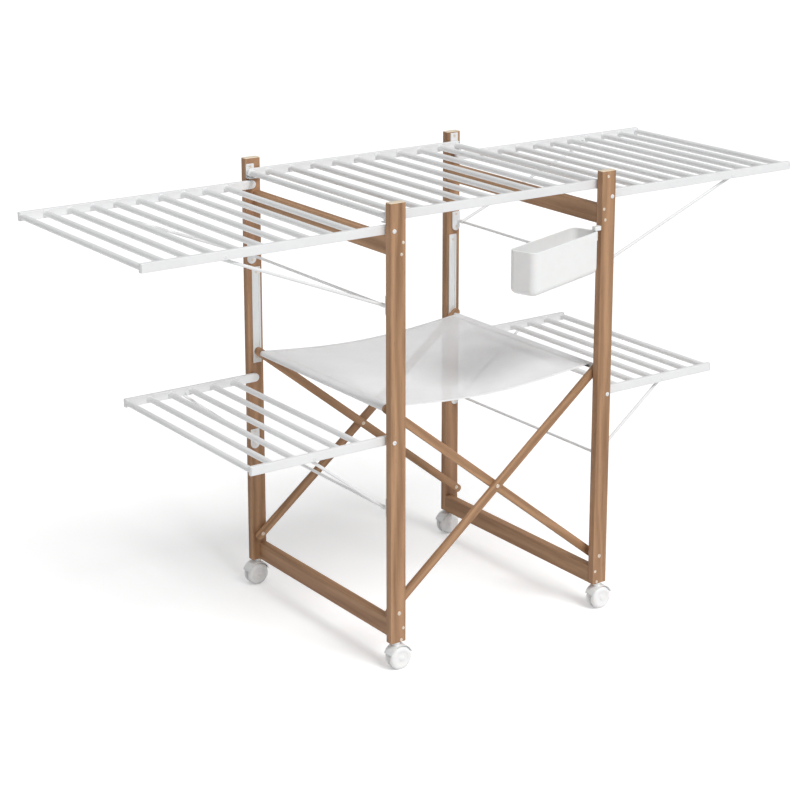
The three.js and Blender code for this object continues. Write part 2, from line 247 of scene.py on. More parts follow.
def add_piece(name, shapes, material, body, stands_for=()):
    """One object from some shapes, riding on a body, with a slot's finish, standing for the named nodes."""
    shape = Shape.joined(shapes)
    mesh = bpy.data.meshes.new(name)
    mesh.from_pydata(shape.points.tolist(), [], shape.faces)
    mesh.shade_smooth()
    mesh.set_sharp_from_angle(angle=CREASE)
    mesh.materials.append(material)
    piece = bpy.data.objects.new(name, mesh)
    bpy.context.scene.collection.objects.link(piece)
    if stands_for:
        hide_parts(*stands_for)
    if body:
        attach(piece, body)
    return piece


def write_points(piece, name, kind, field, values):
    """A named attribute with one value for each point of a piece."""
    written = piece.data.attributes.new(name, kind, "POINT")
    written.data.foreach_set(field, np.asarray(values, np.float32).ravel())


# ------------------------------------------------------------------------- shader maths
class Value:
    """A number socket; each operator adds its Math node."""

    def __init__(self, nodes, socket):
        self.nodes, self.socket = nodes, socket

    def maths(self, operation, *values):
        made = self.nodes.node("ShaderNodeMath", {"operation": operation}, dict(enumerate(values)))
        return Value(self.nodes, made.outputs[0])

    def __add__(self, other):
        return self.maths("ADD", self, other)

    def __sub__(self, other):
        return self.maths("SUBTRACT", self, other)

    def __rsub__(self, other):
        return self.maths("SUBTRACT", other, self)

    def __mul__(self, other):
        return self.maths("MULTIPLY", self, other)

    __radd__, __rmul__ = __add__, __mul__

    def sine(self):
        return self.maths("SINE", self)

    def at_most(self, limit):
        return self.maths("MINIMUM", self, limit)

    def between(self, low, high):
        """0 below low and 1 above high, in a straight line between them."""
        inputs = {"Value": self, "From Min": low, "From Max": high}
        made = self.nodes.node("ShaderNodeMapRange", {"clamp": True}, inputs)
        return Value(self.nodes, made.outputs[0])


class Nodes:
    """A node tree, and the one method that adds a node to it."""

    mix_first, mix_second, mixed = 6, 7, 2  # a Mix node's two colours and the colour that it gives

    def __init__(self, tree):
        self.tree = tree

    def node(self, kind, settings=None, inputs=None):
        made = self.tree.nodes.new(kind)
        for name, value in (settings or {}).items():
            setattr(made, name, value)
        for name, value in (inputs or {}).items():
            self.join(made.inputs[name], value)
        return made

    def join(self, socket, value):
        value = value.socket if isinstance(value, Value) else value
        if isinstance(value, bpy.types.NodeSocket):
            self.tree.links.new(value, socket)
        else:
            socket.default_value = value

    def stretched(self, place, scales):
        """A place with each of its axes scaled."""
        made = self.node("ShaderNodeVectorMath", {"operation": "MULTIPLY"}, {0: place, 1: scales})
        return made.outputs["Vector"]

    def axes(self, place):
        """The X, Y and Z of a place as numbers."""
        return [Value(self, socket) for socket in self.node("ShaderNodeSeparateXYZ", {}, {0: place}).outputs]

    def noise(self, place, scale, detail=3.0, roughness=0.5, distortion=0.0):
        inputs = {"Vector": place, "Scale": scale, "Detail": detail, "Roughness": roughness,
                  "Distortion": distortion}
        return Value(self, self.node("ShaderNodeTexNoise", {}, inputs).outputs["Fac"])

    def blend(self, factor, first, second):
        """A colour between two others."""
        inputs = {"Factor": factor, self.mix_first: solid(first), self.mix_second: solid(second)}
        return self.node("ShaderNodeMix", {"data_type": "RGBA"}, inputs).outputs[self.mixed]


def solid(colour):
    """Red, green and blue with an alpha of 1; a socket stays as it is."""
    return colour if isinstance(colour, bpy.types.NodeSocket) else (*colour, 1)


def dimmed(colour, share):
    return tuple(part * share for part in colour)


class Finish(Nodes):
    """A material with one Principled shader, whose sockets are given by name."""

    def __init__(self, name, **sockets):
        self.material = bpy.data.materials.new(name)
        self.material.use_nodes = True
        super().__init__(self.material.node_tree)
        self.shader = self.tree.nodes["Principled BSDF"]
        self.surface(**sockets)

    def surface(self, **sockets):
        for name, value in sockets.items():
            self.join(self.shader.inputs[name.replace("_", " ")], value)

    def bump(self, height, distance, strength=0.5):
        inputs = {"Height": height, "Distance": distance, "Strength": strength}
        self.surface(Normal=self.node("ShaderNodeBump", {}, inputs).outputs[0])

    def place(self):
        return self.node("ShaderNodeTexCoord").outputs["Object"]

    def attribute(self, name, output):
        return self.node("ShaderNodeAttribute", {"attribute_name": name}).outputs[output]


def stained_wood(look):
    """Long streaks and growth rings on the plank's own place, with pores as short dark dashes.
    The third axis of that place runs along the plank, so every scale there is small."""
    wood = Finish("stained hardwood", Specular_IOR_Level=0.42)
    grain = wood.attribute("grain", "Vector")
    streaks = wood.noise(wood.stretched(grain, (70, 70, 2.2)), 1.0, 5.0, 0.6, 0.5)
    fibres = wood.noise(wood.stretched(grain, (900, 900, 16)), 1.0, 3.0, 0.6)
    sway = wood.noise(wood.stretched(grain, (18, 18, 2.6)), 1.0, 2.0)
    pores = wood.noise(wood.stretched(grain, (1500, 1500, 55)), 1.0, 2.0).between(0.62, 0.7)
    rosy = wood.noise(wood.stretched(grain, (30, 30, 1.2)), 1.0, 2.0).between(0.5, 0.75)
    x, y, _ = wood.axes(grain)
    rings = (x * 260.0 + y * 140.0 + sway * 16.0).sine() * 0.5 + 0.5
    tone = (streaks * 0.62 + rings * 0.2 + fibres * 0.3).between(0.34, 0.74)
    colour = wood.blend(tone, look.wood_dark, look.wood_light)
    colour = wood.blend(rosy * 0.45, colour, look.wood_rosy)
    colour = wood.blend(pores * 0.35, colour, dimmed(look.wood_dark, 0.45))
    top = Value(wood, wood.attribute("end_grain", "Fac"))
    wood.surface(Base_Color=wood.blend(top, colour, look.end_grain),
                 Roughness=0.44 + fibres * 0.2 + pores * 0.12)
    wood.bump(fibres * 0.6 + streaks * 0.5 - pores * 0.8, 0.25 * MM)
    return wood.material


def white_coat(look):
    """A thick white coat on metal: faint orange peel, and a little dust tone in broad clouds."""
    coat = Finish("white coated metal", Specular_IOR_Level=0.5)
    place = coat.place()
    clouds, peel = coat.noise(place, 9.0), coat.noise(place, 900.0, 2.0)
    coat.surface(Base_Color=coat.blend(clouds.between(0.35, 0.7), look.white, dimmed(look.white, 0.955)),
                 Roughness=0.34 + clouds * 0.12 + peel * 0.05)
    coat.bump(peel, 0.06 * MM)
    return coat.material


def moulded_plastic(look):
    """White plastic with the fine spark-eroded texture of its mould and soft scuffs."""
    plastic = Finish("white moulded plastic", Specular_IOR_Level=0.45, Subsurface_Weight=0.06,
                     Subsurface_Scale=0.01)
    place = plastic.place()
    texture, scuffs = plastic.noise(place, 1400.0, 2.0), plastic.noise(place, 45.0, 4.0, 0.65)
    worn = plastic.blend(scuffs.between(0.45, 0.75), look.plastic, dimmed(look.plastic, 0.975))
    plastic.surface(Base_Color=worn, Roughness=0.4 + scuffs * 0.14)
    plastic.bump(texture, 0.05 * MM, 0.6)
    return plastic.material


def plated_steel(look):
    """Zinc-plated steel: fine mottling in colour and gloss."""
    steel = Finish("zinc plated steel", Metallic=0.75)
    mottle = steel.noise(steel.place(), 420.0, 4.0, 0.6)
    steel.surface(Base_Color=steel.blend(mottle, dimmed(look.zinc, 0.8), look.zinc),
                  Roughness=0.3 + mottle * 0.2)
    steel.bump(mottle, 0.08 * MM)
    return steel.material


def woven_sling(look):
    """A plain weave on the cloth's own place: threads in a chequer of sines, with thin cloth between them."""
    cloth = Finish("woven white sling", Specular_IOR_Level=0.2, Sheen_Weight=0.15, Sheen_Roughness=0.5)
    place = cloth.node("ShaderNodeUVMap", {"uv_map": "cloth"}).outputs[0]
    along, across, _ = cloth.axes(place)
    turns = math.pi / look.thread_pitch
    weave = (along * turns).sine() * (across * turns).sine() * 0.5 + 0.5
    slubs = cloth.noise(cloth.stretched(place, (26, 420, 1)), 1.0)
    tone = (slubs * 0.5 + cloth.noise(place, 14.0) * 0.5).between(0.35, 0.68)
    layers = Value(cloth, cloth.attribute("layers", "Fac"))
    cover = look.sling_cover + weave * 0.06 + layers * 0.3
    cloth.surface(Base_Color=cloth.blend(tone, dimmed(look.sling, 0.93), look.sling),
                  Roughness=0.72 + slubs * 0.2, Alpha=cover.at_most(1.0))
    cloth.bump(weave + slubs * 0.4, 0.12 * MM)
    return cloth.material


# --------------------------------------------------------------------------- properties
def tint(name, description, *colour):
    return FloatVectorProperty(name=name, description=description, default=colour, subtype="COLOR",
                               min=0, max=1)


def metres(name, description, default, least, most):
    return FloatProperty(name=name, description=description, default=default, unit="LENGTH",
                         min=least, max=most)


class AirerLook(bpy.types.PropertyGroup):
    """Colours and small sizes that a user may want to change."""

    wood_light: tint("Light wood", "Light streaks of the stained wood", 0.52, 0.302, 0.165)
    wood_dark: tint("Dark wood", "Dark streaks of the stained wood", 0.278, 0.147, 0.072)
    wood_rosy: tint("Rosy wood", "Broad warm streaks in the wood", 0.465, 0.25, 0.152)
    end_grain: tint("Post tops", "The pale caps of the posts", 0.86, 0.75, 0.58)
    white: tint("Rack white", "Coating of the racks, struts and plates", 0.88, 0.885, 0.89)
    plastic: tint("Plastic white", "Caddy, castors and tracks", 0.92, 0.92, 0.915)
    zinc: tint("Screws", "Plating of the screws and bolts", 0.96, 0.85, 0.72)
    sling: tint("Sling cloth", "Colour of the shelf's cloth", 0.96, 0.96, 0.965)
    sling_cover: FloatProperty(name="Sling cover", description="How much of the view the cloth blocks",
                               default=0.68, min=0, max=1, subtype="FACTOR")
    thread_pitch: metres("Thread pitch", "Distance between the cloth's threads", 0.0009, 0.0003, 0.005)
    edge: metres("Wood edge", "Radius that the wood's long edges are rounded to", 0.0016, 0.0003, 0.004)
    sag: metres("Sling sag", "How far the middle of the cloth hangs below its edges", 0.015, 0.0, 0.03)


def airer_look():
    return bpy.context.scene.airer_look


finishes = {}


def finish(name):
    """Each material is made once, when a piece first asks for it."""
    makers = {"wood": stained_wood, "coat": white_coat, "plastic": moulded_plastic, "zinc": plated_steel,
              "sling": woven_sling}
    if name not in finishes:
        finishes[name] = makers[name](airer_look())
    return finishes[name]


# ------------------------------------------------------------------------- wood members
def add_wood(name, shape, pale, body):
    """A wooden piece. Its grain starts at a place of its own, so no two planks match."""
    seed = np.random.default_rng(sum(map(ord, name)))
    grain = shape.grain + seed.uniform(-0.4, 0.4, 3) * (1, 1, 4)
    piece = add_piece(f"{name}_wood", [shape], finish("wood"), body, [name])
    write_points(piece, "grain", "FLOAT_VECTOR", "vector", grain)
    write_points(piece, "end_grain", "FLOAT", "value", pale)


def plank(name, along, across, up, body):
    """A rounded-rectangle section that fills its node's box, carried along it. The tops of posts are pale."""
    edge = airer_look().edge
    low, high = box(name)
    start = np.where(along > 0, low, (low + high) / 2)
    run, width, height = ((high - low) @ way for way in (along, across, up))
    shape = carried(rounded_rect(width, height, edge), softened(run, edge * 0.8), start, across, up, along)
    top = (shape.points - start) @ along > run - edge * 0.5
    add_wood(name, shape, top & name.startswith("post"), body)


class AIRER_OT_post_frames(bpy.types.Operator):
    """Four upright posts and the four rails across them"""

    bl_idname = "airer.post_frames"
    bl_label = "Posts and rails"

    def execute(self, context):
        for side, _, place in PLACES:
            plank(f"post_{place}", Z, X, Y, f"{side}_frame")
        for side in SIDES:
            for level in ("top", "bottom"):
                plank(f"{level}_rail_{side}", Y, Z, X, f"{side}_frame")
        return {"FINISHED"}


class AIRER_OT_braces(bpy.types.Operator):
    """The X braces' bars, with their bolts and middle pins"""

    bl_idname = "airer.braces"
    bl_label = "Braces"

    wide = 18 * MM
    past = 16 * MM  # from a bolt's axis to the bar's round end
    head = 2 * MM
    shank, spacer = 3 * MM, 6 * MM  # radii
    sunk = 0.2 * MM

    def execute(self, context):
        foot, crossing = PIVOT["frame_fold"], PIVOT["brace_cross"]
        span = crossing - foot
        reach = np.linalg.norm(span)
        for end in ENDS:
            for brace, way in (("a", 1), ("b", -1)):
                along = span / reach * (way, 1, 1)
                self.bar(f"brace_{brace}_{end}", crossing, along, reach + self.past, f"brace_{brace}")
            self.fastener(f"brace_pin_{end}", "brace_a", 2)
            for side in SIDES:
                self.fastener(f"brace_bolt_{side}_{end}", f"{side}_frame", 1)
        return {"FINISHED"}

    def bar(self, node, crossing, along, reach, body):
        """A round-ended outline carried through the bar's thickness, with softened edges."""
        low, high = box(node)
        edge, radius = airer_look().edge, self.wide / 2
        straight = reach - radius
        outline = cornered([(straight, 0, radius, -1, 1), (-straight, 0, radius, 1, 3)], hold=3 * MM, steps=8)
        origin = np.array([crossing[0], low[1], crossing[2]])
        shape = carried(outline, softened(high[1] - low[1], edge), origin, along, np.cross(along, Y), Y)
        shape.grain = shape.grain[:, [1, 2, 0]]
        add_wood(node, shape, np.zeros(len(shape.points)), body)

    def fastener(self, node, body, slots):
        """A bolt with a domed head at each end of its node, and a plain shank and spacer between."""
        low, high = box(node)
        x, _, z = (low + high) / 2
        inner, outer = low[1] + self.head * 0.9, high[1] - self.head * 0.9
        shapes = [
            cross_bar(x, z, inner, outer, self.shank),
            dome_head((x, inner, z), -Y, 4.3 * MM, 1.6 * MM, 0.5, slots),
            dome_head((x, outer, z), Y, 4.3 * MM, 1.6 * MM, 1.1, slots),
        ]
        if "bolt" in node:
            end = "front" if "front" in node else "rear"
            layer = box(f"brace_{'a' if 'left' in node else 'b'}_{end}")
            bar_face = layer[0][1] if end == "front" else layer[1][1]
            near, far = sorted((post_y(end, self.sunk), bar_face + ENDS[end] * self.sunk))
            shapes.append(cross_bar(x, z, near, far, self.spacer, 28, 0.6 * MM))
        add_piece(f"{node}_metal", shapes, finish("zinc"), body, [node])


# -------------------------------------------------------------------------------- racks
ROD = 6 * MM  # radius of the racks' rods
COLLAR = [(0, 6.2 * MM), (1.7 * MM, 7.1 * MM), (2.6 * MM, 6.9 * MM), (3.4 * MM, 6.0 * MM)]


def rack_shapes(pivot, reach, rods, rail, tall):
    """Two side rails, each round about the pivot, and rods with turned collars across them."""
    way = np.sign(reach)
    outline = round_ended(abs(reach), tall, 1.4 * MM)
    shapes = []
    for end in ENDS:
        near, far = sorted((post_y(end, rail[0]), post_y(end, rail[1])))
        origin = np.array([pivot[0], near, pivot[2]])
        shapes.append(carried(outline, softened(far - near, 1.2 * MM), origin, way * X, Z, Y))
    into = 1.5 * MM
    front, rear = post_y("front", rail[1] - into), post_y("rear", rail[1] - into)
    for x in rods:
        shapes.append(cross_bar(x, pivot[2], front, rear, ROD, 28))
        if abs(x - pivot[0]) > abs(reach) - 8 * MM:
            continue  # the outermost rod has no room for collars
        for end, y in (("front", front), ("rear", rear)):
            shapes.append(lathe(COLLAR, (x, y, pivot[2]), -ENDS[end] * Y, 28))
    return shapes


class AIRER_OT_racks(bpy.types.Operator):
    """The four hinged side racks and the middle rack"""

    bl_idname = "airer.racks"
    bl_label = "Racks"

    tall = 18 * MM
    rail = (3.2 * MM, 12.2 * MM)  # a rail's two faces, in from the posts
    wings = {  # first rod and strut's stud, out from the posts, and the number of rods
        "upper": (53.2 * MM, 10, 348 * MM),
        "lower": (48 * MM, 6, 162 * MM),
    }
    middle_rods = (48.4 * MM, 55.9 * MM, 9)  # first rod, pitch and number
    pin = 3 * MM
    drop = 2.8 * MM  # from a rail's middle down to its stud

    def execute(self, context):
        for side, way in SIDES.items():
            for level, (first, count, stud) in self.wings.items():
                self.wing(side, way, level, first, count, stud)
        self.middle()
        return {"FINISHED"}

    def wing(self, side, way, level, first, count, stud):
        node = f"rack_{level}_{side}"
        low, high = box(node)
        pivot = PIVOT[f"{side}_racks_fold" if level == "upper" else f"rack_lower_{side}_fold"]
        tip = low[0] if way < 0 else high[0]
        rods = np.linspace(post_x(side, -first), tip - way * ROD, count)
        shapes = rack_shapes(pivot, tip - pivot[0], rods, self.rail, self.tall)
        add_piece(f"{node}_tubes", shapes, finish("coat"), node, [node])
        self.pins(node, side, pivot, stud)

    def pins(self, node, side, pivot, stud):
        """The pivot bolts through the posts, and the studs that the struts bear on."""
        shapes = []
        x, z = post_x(side, -stud), pivot[2] - self.drop
        for end, way in ENDS.items():
            post_face, washer, stud_root, stud_tip, stud_face = (
                post_y(end, inwards * MM) for inwards in (-17.3, 3.3, 11, 20, 3.25))
            shapes += [
                cross_bar(pivot[0], pivot[2], post_y(end, 5 * MM), post_face, self.pin),
                dome_head((pivot[0], post_face, pivot[2]), way * Y, 4.5 * MM, 1.7 * MM, 0.7),
                cross_bar(pivot[0], pivot[2], washer, post_y(end, 0.4 * MM), 5.6 * MM, 28, 0.4 * MM),
                cross_bar(x, z, stud_root, stud_tip, self.pin),
                dome_head((x, stud_face, z), way * Y, 4.2 * MM, 1.3 * MM, 0.2),
            ]
        add_piece(f"{node}_pins", shapes, finish("coat"), node)

    def middle(self):
        node = "rack_centre"
        pivot = PIVOT["centre_rack_lift"]
        first, pitch, count = self.middle_rods
        tip = box(node)[1][0]
        rods = [post_x("left", first + pitch * i) for i in range(count)]
        rods += [pivot[0], tip - 7 * MM]
        shapes = rack_shapes(pivot, tip - pivot[0], rods, self.rail, self.tall)
        for end in ENDS:
            shapes.append(cross_bar(pivot[0], pivot[2], post_y(end, 5 * MM), post_y(end, 0.4 * MM), self.pin))
        add_piece(f"{node}_tubes", shapes, finish("coat"), node, [node])


# ------------------------------------------------------------------- struts and plates
class AIRER_OT_struts(bpy.types.Operator):
    """The wire struts: a cross wire that turns in the post plates, and an arm near each end"""

    bl_idname = "airer.struts"
    bl_label = "Struts"

    wire, arm = 3 * MM, 3.25 * MM  # radii
    arm_in = 15.9 * MM  # from the posts to an arm's middle
    collar = [(-5.2 * MM, 3.1 * MM), (-4.4 * MM, 4.3 * MM), (4.4 * MM, 4.3 * MM), (5.2 * MM, 3.1 * MM)]

    def execute(self, context):
        for side, way in SIDES.items():
            for level in ("upper", "lower"):
                self.strut(side, way, level)
        return {"FINISHED"}

    def strut(self, side, way, level):
        node = f"strut_{level}_{side}"
        low, high = box(node)
        foot = PIVOT[f"{node}_fold"]
        tip_x = low[0] + self.arm if way < 0 else high[0] - self.arm
        tip_z = high[2] - self.arm
        ends = [np.array([foot[0], post_y(end, 0.3 * MM), foot[2]]) for end in ENDS]
        shapes = [round_bar(*ends, self.wire, 20)]
        for end in ENDS:
            y = post_y(end, self.arm_in)
            root, tip = np.array([foot[0], y, foot[2]]), np.array([tip_x, y, tip_z])
            out = (tip - root) / np.linalg.norm(tip - root)
            shapes.append(round_bar(root, tip + out * self.arm, self.arm, 20, self.arm * 0.98))
            shapes.append(lathe(self.collar, root, Y, 24))
        add_piece(f"{node}_wire", shapes, finish("coat"), node, [node])


def screw(x, z, end, inwards, radius=2.9 * MM):
    """A low screw head on a plate, facing in from a post's inner face."""
    return dome_head((x, post_y(end, inwards), z), -ENDS[end] * Y, radius, 0.6 * MM, 0.4)


class AIRER_OT_fittings(bpy.types.Operator):
    """Strut plates, guide tracks, the middle rack's angles and every screw"""

    bl_idname = "airer.fittings"
    bl_label = "Plates, tracks and screws"

    post_screws = [(30, 879), (26, 856), (30, 87), (25, 62.5)]  # mm in from the outer edge, and height
    gap = 0.05 * MM  # between a fitting and its post

    def execute(self, context):
        for side, end, place in PLACES:
            body = f"{side}_frame"
            for level in ("upper", "lower"):
                self.strut_plate(f"strut_plate_{level}_{place}", side, end, body)
            self.track(f"guide_track_{place}", side, end, body)
            self.screws(side, end, place, body)
        for end in ENDS:
            self.angle(f"rack_pivot_plate_{end}", "left", end)
            self.angle(f"rack_hook_{end}", "right", end)
        for side, brace in (("left", "brace_b"), ("right", "brace_a")):
            node = f"shelf_rod_{side}"
            low, high = box(node)
            x, _, z = (low + high) / 2
            rod = cross_bar(x, z, low[1], high[1], (high[0] - low[0]) / 2, 28, 0.8 * MM)
            add_piece(f"{node}_steel", [rod], finish("coat"), brace, [node])
        for end in ENDS:
            self.spacer(f"shelf_spacer_{end}", end)
        return {"FINISHED"}

    def spacer(self, node, end):
        """A softened collar round the left shelf rod, just short of the rod's end."""
        low, high = box(node)
        x, _, z = (low + high) / 2
        near, far = post_y(end, 3.7 * MM), post_y(end, 12.8 * MM)
        collar = cross_bar(x, z, near, far, (high[0] - low[0]) / 2, 32, 0.9 * MM)
        add_piece(f"{node}_collar", [collar], finish("plastic"), "brace_b", [node])

    def plate(self, outline, node, end, origin, across, up):
        low, high = box(node)
        thick = high[1] - low[1]
        start = low[1] if end == "front" else high[1]
        origin = np.array([origin[0], start, origin[1]])
        return carried(outline, softened(thick, 0.5 * MM, 3, 0.4 * MM), origin, across, up, -ENDS[end] * Y)

    def strut_plate(self, node, side, end, body):
        low, high = box(node)
        wide = high[0] - low[0]
        middle, tall = (low[0] + high[0]) / 2, high[2] - low[2]
        outline = round_ended(tall - wide / 2, wide, 2 * MM)
        shape = self.plate(outline, node, end, (middle, low[2] + wide / 2), Z, X)
        pivot = PIVOT[f"strut_{node.split('_')[2]}_{side}_fold"]
        near, far = post_y(end, 0.5 * MM), post_y(end, 3.2 * MM)
        boss = cross_bar(pivot[0], pivot[2], near, far, 4.4 * MM, 24, 0.5 * MM)
        add_piece(f"{node}_steel", [shape, boss], finish("coat"), body, [node])
        heads = [screw(middle, z, end, 2.7 * MM) for z in (low[2] + wide * 0.42, high[2] - 6 * MM)]
        add_piece(f"{node}_screws", heads, finish("zinc"), body)

    def track(self, node, side, end, body):
        """A shallow U section carried up the post: two lips with a floor between them."""
        low, high = box(node)
        wide, thick = high[0] - low[0], high[1] - low[1]
        middle = (low[0] + high[0]) / 2
        floor, groove = 1.6 * MM, 11 * MM
        lip = (wide - groove) / 2
        aside = (wide - lip) / 2
        rings = softened(high[2] - low[2], 0.6 * MM, 3)
        shapes = []
        for offset, width, depth in ((0, wide - 1 * MM, floor), (-aside, lip, thick), (aside, lip, thick)):
            outline = rounded_rect(width, depth, min(0.7 * MM, depth * 0.45), 3)
            foot = np.array([middle + offset, post_y(end, self.gap + depth / 2), low[2]])
            shapes.append(carried(outline, rings, foot, X, Y, Z))
        add_piece(f"{node}_moulding", shapes, finish("plastic"), body, [node])
        heads = [screw(middle, z, end, floor) for z in (low[2] + 12 * MM, high[2] - 12 * MM)]
        add_piece(f"{node}_screws", heads, finish("zinc"), body)

    def angle(self, node, side, end):
        """A screwed plate and a ledge under the rack's rail."""
        low, high = box(node)
        wide, tall = high[0] - low[0], high[2] - low[2]
        middle, thick = (low[0] + high[0]) / 2, 2.2 * MM
        depth = high[1] - low[1]
        body = f"{side}_frame"
        upright = rounded_rect(wide, tall, 1.8 * MM)
        origin = np.array([middle, post_y(end, self.gap), (low[2] + high[2]) / 2])
        shapes = [carried(upright, softened(thick, 0.5 * MM, 3, 0.4 * MM), origin, X, Z, -ENDS[end] * Y)]
        ledge = rounded_rect(wide, 2.4 * MM, 0.6 * MM, 3)
        origin = np.array([middle, post_y(end, 0.5 * MM), low[2] + 1.2 * MM])
        shapes.append(carried(ledge, softened(depth - 0.5 * MM, 0.6 * MM, 3), origin, X, Z, -ENDS[end] * Y))
        add_piece(f"{node}_steel", shapes, finish("coat"), body, [node])
        head = screw(middle, high[2] - 7 * MM, end, thick, 3.4 * MM)
        add_piece(f"{node}_screw", [head], finish("zinc"), body)

    def screws(self, side, end, place, body):
        spots = list(self.post_screws)
        if side == "right":
            spots.append((20, 946))  # near the post's top
        heads = []
        for i, (inwards, z) in enumerate(spots):
            centre = post_x(side, inwards * MM), post_y(end, -17 * MM), z * MM
            heads.append(dome_head(centre, ENDS[end] * Y, 3.2 * MM, 1.1 * MM, 0.3 + i * 0.8))
        add_piece(f"post_{place}_screws", heads, finish("zinc"), body)


# ------------------------------------------------------------------------------- sling
class AIRER_OT_sling(bpy.types.Operator):
    """The shelf's cloth, with a stitched hem round each rod"""

    bl_idname = "airer.sling"
    bl_label = "Sling shelf"

    loop = 5.7 * MM  # from a rod's axis to the middle of the cloth
    seam = 19 * MM  # from a rod's axis to the end of its hem
    thick = 0.8 * MM

    def execute(self, context):
        rods = [(low + high) / 2 for low, high in (box("shelf_rod_left"), box("shelf_rod_right"))]
        left, right = rods[0][0], rods[1][0]
        low, high = box("shelf_fabric")
        path, layers, sheet = self.path(left, right, rods[0][2])
        rows = np.linspace(low[1], high[1], 121)
        edge = np.minimum(rows - low[1], high[1] - rows)
        x, z = path[:, None, 0] + rows * 0, path[:, None, 1] + rows * 0
        share = np.clip((x - left) / (right - left), 0, 1)
        middle = np.sin(np.pi * share) ** 2
        # between the rods the free edges hang a little lower, and faint waves run across from rod to rod
        z = z - middle * 3.5 * MM * np.exp(-edge / (55 * MM))
        z = z + middle * 0.5 * MM * np.sin(rows * 46 + 2.2 * share) * np.exp(-edge / (140 * MM))
        points = np.stack([x, rows + x * 0, z], -1)
        count = points.shape[:2]
        travelled = np.concatenate([[0], np.cumsum(np.hypot(*np.diff(path, axis=0).T))])
        shape = Shape(points.reshape(-1, 3), grid_faces(*count, around=False))
        piece = add_piece("sling_cloth", [shape], finish("sling"), None, ["shelf_fabric"])
        uv = np.stack([travelled[:, None] + rows * 0, rows + travelled[:, None] * 0], -1).reshape(-1, 2)
        cloth = piece.data.uv_layers.new(name="cloth")
        corners = np.array([loop.vertex_index for loop in piece.data.loops])
        cloth.data.foreach_set("uv", uv[corners].astype(np.float32).ravel())
        hem = np.clip((8 * MM - edge) / (1 * MM), 0, 1)
        write_points(piece, "layers", "FLOAT", "value", np.maximum(layers[:, None], hem))
        wall = piece.modifiers.new("cloth thickness", "SOLIDIFY")
        wall.thickness, wall.offset = self.thick, 0.0
        threads = self.threads(left, right, path[sheet, 0], rows, z[sheet])
        for soft in (piece, threads):
            left + 12 * MM
            right - 12 * MM
            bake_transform(soft)
        return {"FINISHED"}

    def path(self, left, right, rod_z):
        """Down the middle of the cloth: hem, round the left rod, a parabola, round the right rod, hem.
        Also 1 where two layers of cloth lie together, and which of the points are the parabola's."""
        sag = airer_look().sag
        angle = np.radians(np.linspace(-58, -270, 30))
        loop = np.stack([left + self.loop * np.cos(angle), rod_z + self.loop * np.sin(angle)], -1)
        x = np.linspace(left, right, 97)[1:-1]
        half = (right - left) / 2
        top = rod_z + self.loop
        sheet = np.stack([x, top - sag * (1 - ((x - left - half) / half) ** 2)], -1)
        under = np.interp(left + self.seam, x, sheet[:, 1]) - 1.1 * MM
        flap = np.linspace([left + self.seam, under], loop[0], 7)[:-1]
        hem = np.concatenate([flap, loop])
        mirrored = hem[::-1] * [-1, 1] + [left + right, 0]
        path = np.concatenate([hem, sheet, mirrored])
        rod_distance = np.minimum(np.abs(path[:, 0] - left), np.abs(right - path[:, 0]))
        return path, (rod_distance < self.seam).astype(float), slice(len(hem), len(hem) + len(x))

    def threads(self, left, right, path_x, rows, z):
        """Rows of short stitches, each a small bead of thread that lies on the cloth."""
        pitch, long = 3.4 * MM, 2.5 * MM
        low_y, high_y = rows[0], rows[-1]
        stitches = []
        for x in (left + 15 * MM, left + 18 * MM, right - 18 * MM, right - 15 * MM):
            places = np.arange(low_y + 3 * MM, high_y - 3 * MM, pitch)
            stitches.append((np.full(len(places), x), places, Y))
        for y in (low_y + 7 * MM, high_y - 7 * MM):
            places = np.arange(left + 22 * MM, right - 22 * MM, pitch)
            stitches.append((places, np.full(len(places), y), X))
        shapes = [self.row(x, y, self.height(x, y, path_x, rows, z), way, long) for x, y, way in stitches]
        return add_piece("sling_stitches", shapes, finish("coat"), None)

    @staticmethod
    def height(x, y, path_x, rows, z):
        """The cloth's height at places: the next row of its grid, and a straight line along the path."""
        column = np.clip(np.searchsorted(rows, y), 0, len(rows) - 1)
        row = np.clip(np.searchsorted(path_x, x), 1, len(path_x) - 1)
        share = (x - path_x[row - 1]) / (path_x[row] - path_x[row - 1])
        return z[row - 1, column] * (1 - share) + z[row, column] * share

    def row(self, x, y, z, way, long):
        """Six-sided beads of thread: radius = 0.28 mm * sqrt(1.02 - u^2) along a stitch."""
        u = np.array([-1, -0.55, 0.55, 1])
        radius = 0.28 * MM * np.sqrt(np.clip(1.02 - u**2, 0.05, 1))
        angle = np.linspace(0, 2 * np.pi, 6, endpoint=False)
        side = np.cross(way, Z)
        ring = np.cos(angle)[:, None] * side + np.sin(angle)[:, None] * Z
        bead = u[:, None, None] * long / 2 * way + radius[:, None, None] * ring
        centres = np.stack([x, y, z + self.thick / 2 + 0.05 * MM], -1)
        points = (centres[:, None, None] + bead).reshape(-1, 3)
        one = grid_faces(4, 6) + [[5, 4, 3, 2, 1, 0], [18, 19, 20, 21, 22, 23]]
        faces = [[i + bead[..., 0].size * k for i in face] for k in range(len(x)) for face in one]
        return Shape(points, faces)


